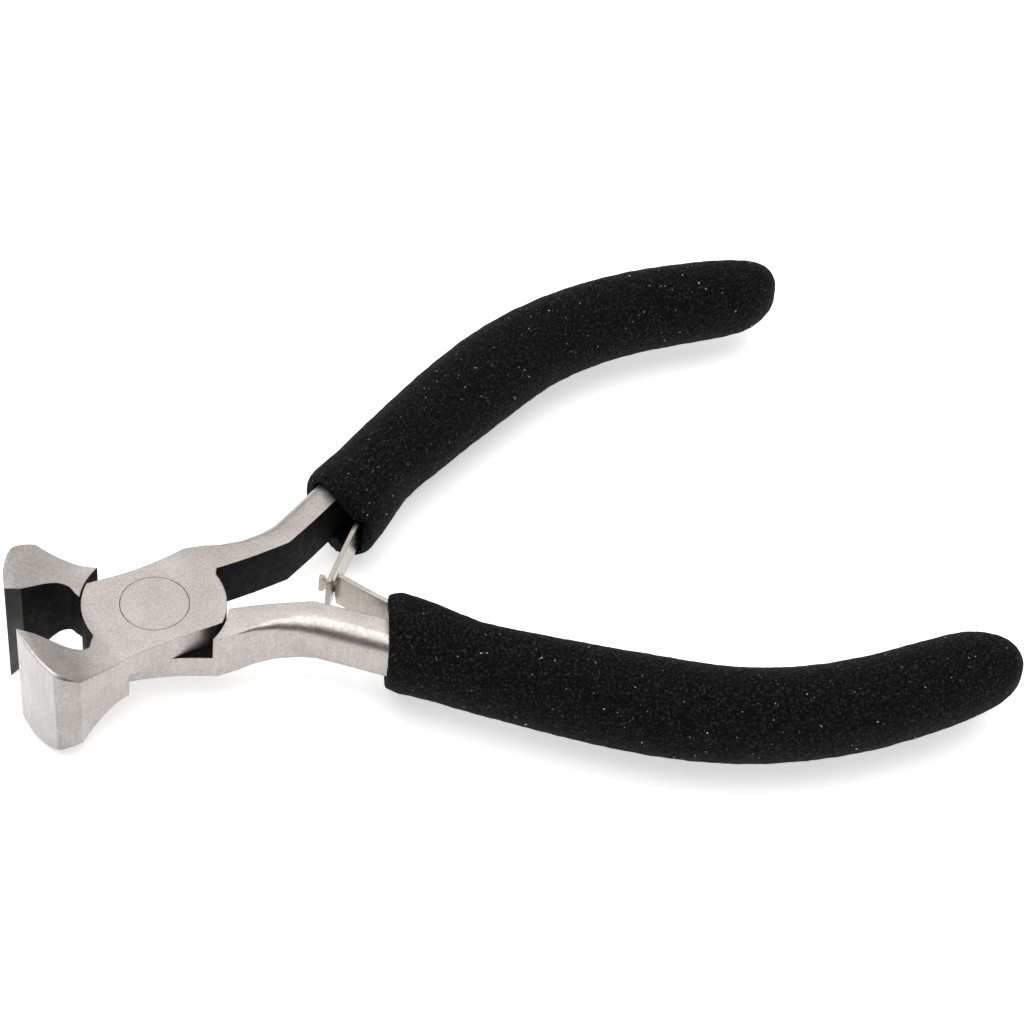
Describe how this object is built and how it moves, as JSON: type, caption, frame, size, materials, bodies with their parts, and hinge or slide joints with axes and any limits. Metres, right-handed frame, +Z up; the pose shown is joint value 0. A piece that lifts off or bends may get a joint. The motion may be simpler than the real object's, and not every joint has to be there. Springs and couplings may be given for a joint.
{
  "type": "end cutting nippers",
  "caption": "Small end cutting nippers with wide blades across the nose, a flush riveted lap joint, interlocked leaf springs and black foam grips; squeezed to nip wire.",
  "frame": {"origin": "on the pivot axis, at the flat underside of the joint, which is the rivet's lower end", "axes": "+X from the jaws to the handles along the line of symmetry, +Z up along the pivot axis, away from the surface the tool lies on; +Y towards the first half's handle"},
  "size_m": [0.1058, 0.0752, 0.0145],
  "materials": {
    "ground_steel": "ground, satin, with the inner faces left black",
    "spring_steel": "cold rolled strip",
    "foam": "fine matt closed-cell foam"
  },
  "bodies": {
    "half_a": {"half_a": "ground_steel", "pivot_rivet": "ground_steel", "grip_a": "foam", "leaf_rivet_a": "spring_steel"},
    "half_b": {"half_b": "ground_steel", "grip_b": "foam", "leaf_rivet_b": "spring_steel"},
    "leaf_a": {"leaf_spring_a": "spring_steel"},
    "leaf_b": {"leaf_spring_b": "spring_steel"}
  },
  "joints": [
    {"name": "pivot", "type": "hinge", "parent": "half_a", "child": "half_b", "pos_m": [0, 0, 0.00314], "axis": [0, 0, 1], "range_deg": [0, 20.3], "stiffness_Nm_per_rad": 0.6},
    {"name": "leaf_a_flex", "type": "hinge", "parent": "half_a", "child": "leaf_a", "pos_m": [0.0333, 0.01461, 0.00314], "axis": [0, 0, 1], "range_deg": [-11.5, 0], "deforming": ["leaf_spring_a"]},
    {"name": "leaf_b_flex", "type": "hinge", "parent": "half_b", "child": "leaf_b", "pos_m": [0.0333, -0.01461, 0.00314], "axis": [0, 0, 1], "range_deg": [0, 13.5], "deforming": ["leaf_spring_b"]}
  ],
  "couplings": [
    {"joint": "leaf_a_flex", "follows": "pivot", "ratio": -0.5438},
    {"joint": "leaf_b_flex", "follows": "pivot", "ratio": 0.64}
  ]
}
